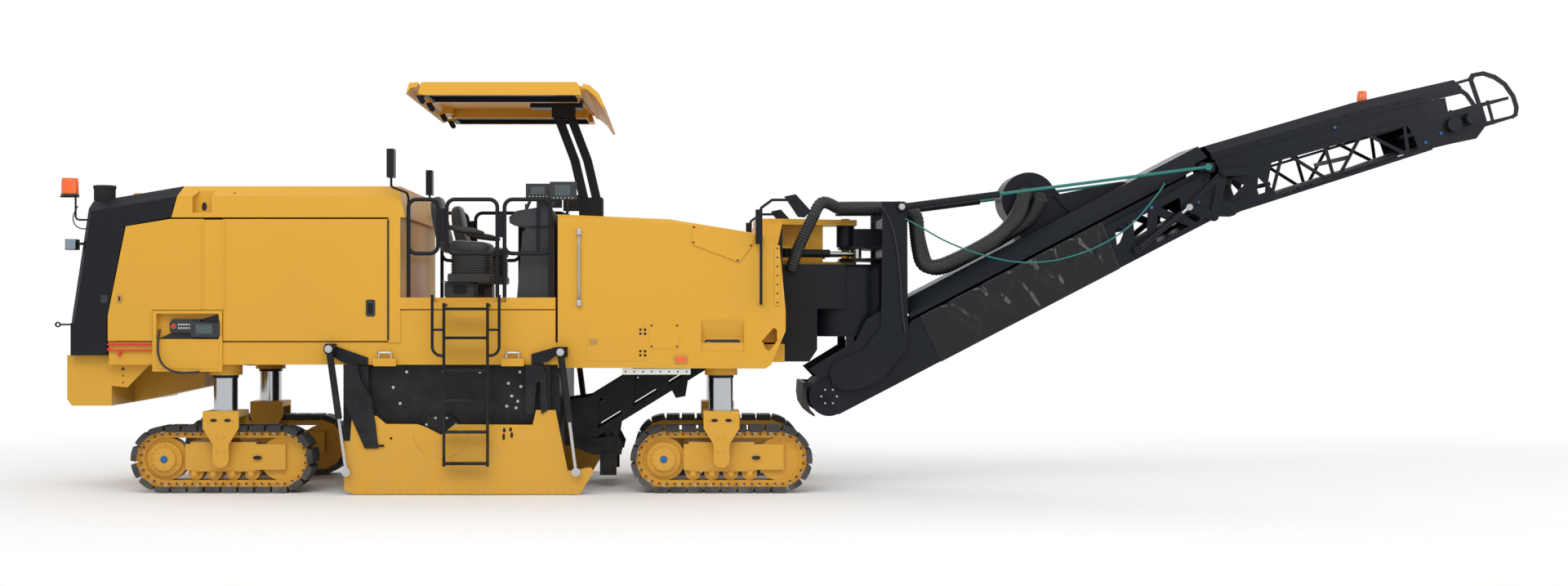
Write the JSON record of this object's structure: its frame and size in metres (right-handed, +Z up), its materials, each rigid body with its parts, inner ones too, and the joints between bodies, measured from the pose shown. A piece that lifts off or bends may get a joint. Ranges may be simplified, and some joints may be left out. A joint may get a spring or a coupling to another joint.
{
  "type": "cold planer",
  "caption": "Large road milling machine on four steered tracks, with a folding front discharge conveyor, a hooded engine bay and a roofed operator's platform.",
  "frame": {"origin": "on the ground under the middle of the whole machine", "axes": "+X forward, the way the discharge conveyor points; +Y to the machine's left; +Z up"},
  "size_m": [15.026, 2.88, 4.3274],
  "materials": {
    "bare_steel": "worn steel",
    "belt_rubber": "matt",
    "black_paint": "satin paint",
    "cable_sheath": "semi-matt",
    "chrome": "polished",
    "dark_steel": "worn dark steel",
    "engine_paint": "satin paint",
    "seat_cover": "matt",
    "vinyl": "coated cloth",
    "yellow_paint": "satin paint"
  },
  "bodies": {
    "base": {"main_frame": "yellow_paint", "rear_bumper": "yellow_paint", "conveyor_tongue": "yellow_paint", "engine_housing": "yellow_paint", "rear_cowl": "black_paint", "engine_block": "engine_paint", "operator_deck": "yellow_paint", "seats": "seat_cover", "platform_fittings": "black_paint", "front_tank": "yellow_paint", "rotor_housing": "black_paint", "primary_conveyor": "black_paint", "transfer_shroud": "black_paint"},
    "post": {"swing_post": "black_paint"},
    "boom": {"boom_frame": "black_paint", "boom_cover": "black_paint", "boom_belt": "belt_rubber", "side_sheets": "vinyl", "dust_unit": "black_paint", "safety_cable": "cable_sheath"},
    "tip": {"tip_frame": "black_paint", "tip_cover": "black_paint", "tip_belt": "belt_rubber"},
    "lift_barrel": {"lift_barrels": "black_paint"},
    "lift_rod": {"lift_rods": "chrome"},
    "crank": {"fold_crank": "black_paint"},
    "connecting_link": {"fold_link": "black_paint"},
    "fold_barrel": {"fold_barrels": "black_paint"},
    "fold_rod": {"fold_rods": "chrome"},
    "drum": {"milling_drum": "bare_steel"},
    "swing_barrel_right": {"swing_barrel_right": "black_paint"},
    "swing_rod_right": {"swing_rod_right": "chrome"},
    "swing_barrel_left": {"swing_barrel_left": "black_paint"},
    "swing_rod_left": {"swing_rod_left": "chrome"},
    "leg_front_right": {"leg_front_right": "yellow_paint", "track_front_right": "dark_steel"},
    "leg_front_left": {"leg_front_left": "yellow_paint", "track_front_left": "dark_steel"},
    "leg_rear_right": {"leg_rear_right": "yellow_paint", "track_rear_right": "dark_steel"},
    "leg_rear_left": {"leg_rear_left": "yellow_paint", "track_rear_left": "dark_steel"},
    "side_plate_right": {"side_plate_right": "yellow_paint"},
    "plate_barrel_rear_right": {"plate_barrel_rear_right": "black_paint"},
    "plate_rod_rear_right": {"plate_rod_rear_right": "chrome"},
    "plate_barrel_front_right": {"plate_barrel_front_right": "black_paint"},
    "plate_rod_front_right": {"plate_rod_front_right": "chrome"},
    "side_plate_left": {"side_plate_left": "yellow_paint"},
    "plate_barrel_rear_left": {"plate_barrel_rear_left": "black_paint"},
    "plate_rod_rear_left": {"plate_rod_rear_left": "chrome"},
    "plate_barrel_front_left": {"plate_barrel_front_left": "black_paint"},
    "plate_rod_front_left": {"plate_rod_front_left": "chrome"},
    "door_rear_right": {"door_rear_right": "yellow_paint"},
    "door_front_right": {"door_front_right": "yellow_paint"},
    "door_rear_left": {"door_rear_left": "yellow_paint"},
    "door_front_left": {"door_front_left": "yellow_paint"},
    "hood": {"hood": "yellow_paint"},
    "canopy_arm_front": {"canopy_arm_front": "black_paint"},
    "canopy_arm_rear": {"canopy_arm_rear": "black_paint"},
    "canopy_roof": {"canopy_roof": "yellow_paint"}
  },
  "joints": [
    {"name": "conveyor_swing", "type": "hinge", "parent": "base", "child": "post", "pos_m": [0.525, 0, 2.43], "axis": [0, 0, 1], "range_deg": [-50, 50]},
    {"name": "conveyor_lift", "type": "hinge", "parent": "post", "child": "boom", "pos_m": [0.481, 0, 1.175], "axis": [0, 1, 0], "range_deg": [-6, 25]},
    {"name": "conveyor_fold", "type": "hinge", "parent": "boom", "child": "tip", "pos_m": [4.50501, 0, 2.88082], "axis": [0, 1, 0], "range_deg": [0, 120]},
    {"name": "lift_barrel_tilt", "type": "hinge", "parent": "post", "child": "lift_barrel", "pos_m": [1.05, 0, 2.902], "axis": [0, 1, 0], "range_deg": [-7, 28.5]},
    {"name": "lift_rod_slide", "type": "slide", "parent": "lift_barrel", "child": "lift_rod", "axis": [0.9916, 0, 0.1293], "range_m": [-0.18, 0.735]},
    {"name": "fold_crank_turn", "type": "hinge", "parent": "boom", "child": "crank", "pos_m": [4.31, 0, 2.804], "axis": [0, 1, 0], "range_deg": [0, 82.5]},
    {"name": "fold_link_turn", "type": "hinge", "parent": "crank", "child": "connecting_link", "pos_m": [4.404, 0, 3.262], "axis": [0, 1, 0], "range_deg": [0, 3.5]},
    {"name": "fold_barrel_tilt", "type": "hinge", "parent": "boom", "child": "fold_barrel", "pos_m": [3.501, 0, 2.457], "axis": [0, 1, 0], "range_deg": [0, 1.5]},
    {"name": "fold_rod_slide", "type": "slide", "parent": "fold_barrel", "child": "fold_rod", "axis": [0.7713, 0, 0.6365], "range_m": [0, 0.39]},
    {"name": "swing_barrel_turn_right", "type": "hinge", "parent": "base", "child": "swing_barrel_right", "pos_m": [-0.123, -0.42, 2.43], "axis": [0, 0, 1], "range_deg": [-3.2, 3.2]},
    {"name": "swing_rod_slide_right", "type": "slide", "parent": "swing_barrel_right", "child": "swing_rod_right", "axis": [0.9569, 0.2904, 0], "range_m": [-0.18, 0.18]},
    {"name": "swing_barrel_turn_left", "type": "hinge", "parent": "base", "child": "swing_barrel_left", "pos_m": [-0.123, 0.42, 2.43], "axis": [0, 0, 1], "range_deg": [-3.2, 3.2]},
    {"name": "swing_rod_slide_left", "type": "slide", "parent": "swing_barrel_left", "child": "swing_rod_left", "axis": [0.9569, -0.2904, 0], "range_m": [-0.18, 0.18]},
    {"name": "drum_spin", "type": "hinge", "parent": "base", "child": "drum", "pos_m": [-3.618, 0, 0.591], "axis": [0, 1, 0], "continuous": true},
    {"name": "front_steer", "type": "hinge", "parent": "base", "child": "leg_front_right", "pos_m": [-0.825, -0.97, 0.82], "axis": [0, 0, 1], "range_deg": [-30, 30]},
    {"name": "front_steer_left", "type": "hinge", "parent": "base", "child": "leg_front_left", "pos_m": [-0.825, 0.97, 0.82], "axis": [0, 0, 1], "range_deg": [-30, 30]},
    {"name": "rear_steer", "type": "hinge", "parent": "base", "child": "leg_rear_right", "pos_m": [-5.845, -0.97, 0.82], "axis": [0, 0, 1], "range_deg": [-30, 30]},
    {"name": "rear_steer_left", "type": "hinge", "parent": "base", "child": "leg_rear_left", "pos_m": [-5.845, 0.97, 0.82], "axis": [0, 0, 1], "range_deg": [-30, 30]},
    {"name": "side_plate_lift_right", "type": "slide", "parent": "base", "child": "side_plate_right", "axis": [0, 0, 1], "range_m": [0, 0.4]},
    {"name": "plate_barrel_tilt_rear_right", "type": "hinge", "parent": "base", "child": "plate_barrel_rear_right", "pos_m": [-4.721, -1.362, 1.45], "axis": [0, 1, 0], "range_deg": [-3.6, 0]},
    {"name": "plate_rod_slide_rear_right", "type": "slide", "parent": "plate_barrel_rear_right", "child": "plate_rod_rear_right", "axis": [0.138, 0, -0.9904], "range_m": [-0.397, 0]},
    {"name": "plate_barrel_tilt_front_right", "type": "hinge", "parent": "base", "child": "plate_barrel_front_right", "pos_m": [-2.426, -1.362, 1.418], "axis": [0, 1, 0], "range_deg": [-3.6, 0]},
    {"name": "plate_rod_slide_front_right", "type": "slide", "parent": "plate_barrel_front_right", "child": "plate_rod_front_right", "axis": [0.1277, 0, -0.9918], "range_m": [-0.397, 0]},
    {"name": "side_plate_lift_left", "type": "slide", "parent": "base", "child": "side_plate_left", "axis": [0, 0, 1], "range_m": [0, 0.4]},
    {"name": "plate_barrel_tilt_rear_left", "type": "hinge", "parent": "base", "child": "plate_barrel_rear_left", "pos_m": [-4.721, 1.362, 1.45], "axis": [0, 1, 0], "range_deg": [-3.6, 0]},
    {"name": "plate_rod_slide_rear_left", "type": "slide", "parent": "plate_barrel_rear_left", "child": "plate_rod_rear_left", "axis": [0.138, 0, -0.9904], "range_m": [-0.397, 0]},
    {"name": "plate_barrel_tilt_front_left", "type": "hinge", "parent": "base", "child": "plate_barrel_front_left", "pos_m": [-2.426, 1.362, 1.418], "axis": [0, 1, 0], "range_deg": [-3.6, 0]},
    {"name": "plate_rod_slide_front_left", "type": "slide", "parent": "plate_barrel_front_left", "child": "plate_rod_front_left", "axis": [0.1277, 0, -0.9918], "range_m": [-0.397, 0]},
    {"name": "rear_door_right", "type": "hinge", "parent": "base", "child": "door_rear_right", "pos_m": [-5.998, -1.25, 1.9], "axis": [0, 0, 1], "range_deg": [0, 90]},
    {"name": "front_door_right", "type": "hinge", "parent": "base", "child": "door_front_right", "pos_m": [-5.795, -1.25, 1.9], "axis": [0, 0, -1], "range_deg": [0, 90]},
    {"name": "rear_door_left", "type": "hinge", "parent": "base", "child": "door_rear_left", "pos_m": [-5.998, 1.25, 1.9], "axis": [0, 0, -1], "range_deg": [0, 90]},
    {"name": "front_door_left", "type": "hinge", "parent": "base", "child": "door_front_left", "pos_m": [-5.795, 1.25, 1.9], "axis": [0, 0, 1], "range_deg": [0, 90]},
    {"name": "hood_lift", "type": "hinge", "parent": "base", "child": "hood", "pos_m": [-6.233, 0, 3.084], "axis": [0, -1, 0], "range_deg": [0, 50]},
    {"name": "canopy_fold", "type": "hinge", "parent": "base", "child": "canopy_arm_front", "pos_m": [-2.12, 0, 2.96], "axis": [0, -1, 0], "range_deg": [0, 38]},
    {"name": "canopy_rear_arm_turn", "type": "hinge", "parent": "base", "child": "canopy_arm_rear", "pos_m": [-2.255, 0, 2.96], "axis": [0, -1, 0], "range_deg": [0, 38]},
    {"name": "canopy_roof_turn", "type": "hinge", "parent": "canopy_arm_front", "child": "canopy_roof", "pos_m": [-2.417, 0, 3.92], "axis": [0, -1, 0], "range_deg": [-38, 0]}
  ],
  "couplings": [
    {"joint": "lift_barrel_tilt", "follows": "conveyor_lift", "ratio": 1.1222},
    {"joint": "lift_rod_slide", "follows": "conveyor_lift", "m_per_rad": 1.6691},
    {"joint": "fold_crank_turn", "follows": "conveyor_fold", "ratio": 0.685},
    {"joint": "fold_link_turn", "follows": "conveyor_fold", "ratio": 0.025},
    {"joint": "fold_barrel_tilt", "follows": "conveyor_fold", "ratio": 0.0101},
    {"joint": "fold_rod_slide", "follows": "conveyor_fold", "m_per_rad": 0.18554},
    {"joint": "swing_barrel_turn_right", "follows": "conveyor_swing", "ratio": 0.06},
    {"joint": "swing_rod_slide_right", "follows": "conveyor_swing", "m_per_rad": 0.2},
    {"joint": "swing_barrel_turn_left", "follows": "conveyor_swing", "ratio": 0.06},
    {"joint": "swing_rod_slide_left", "follows": "conveyor_swing", "m_per_rad": -0.2},
    {"joint": "front_steer_left", "follows": "front_steer", "ratio": 1},
    {"joint": "rear_steer_left", "follows": "rear_steer", "ratio": 1},
    {"joint": "plate_barrel_tilt_rear_right", "follows": "side_plate_lift_right", "rad_per_m": -0.15259},
    {"joint": "plate_rod_slide_rear_right", "follows": "side_plate_lift_right", "ratio": -0.98673},
    {"joint": "plate_barrel_tilt_front_right", "follows": "side_plate_lift_right", "rad_per_m": -0.14684},
    {"joint": "plate_rod_slide_front_right", "follows": "side_plate_lift_right", "ratio": -0.98859},
    {"joint": "plate_barrel_tilt_rear_left", "follows": "side_plate_lift_left", "rad_per_m": -0.15259},
    {"joint": "plate_rod_slide_rear_left", "follows": "side_plate_lift_left", "ratio": -0.98673},
    {"joint": "plate_barrel_tilt_front_left", "follows": "side_plate_lift_left", "rad_per_m": -0.14684},
    {"joint": "plate_rod_slide_front_left", "follows": "side_plate_lift_left", "ratio": -0.98859},
    {"joint": "canopy_rear_arm_turn", "follows": "canopy_fold", "ratio": 1},
    {"joint": "canopy_roof_turn", "follows": "canopy_fold", "ratio": -1}
  ]
}
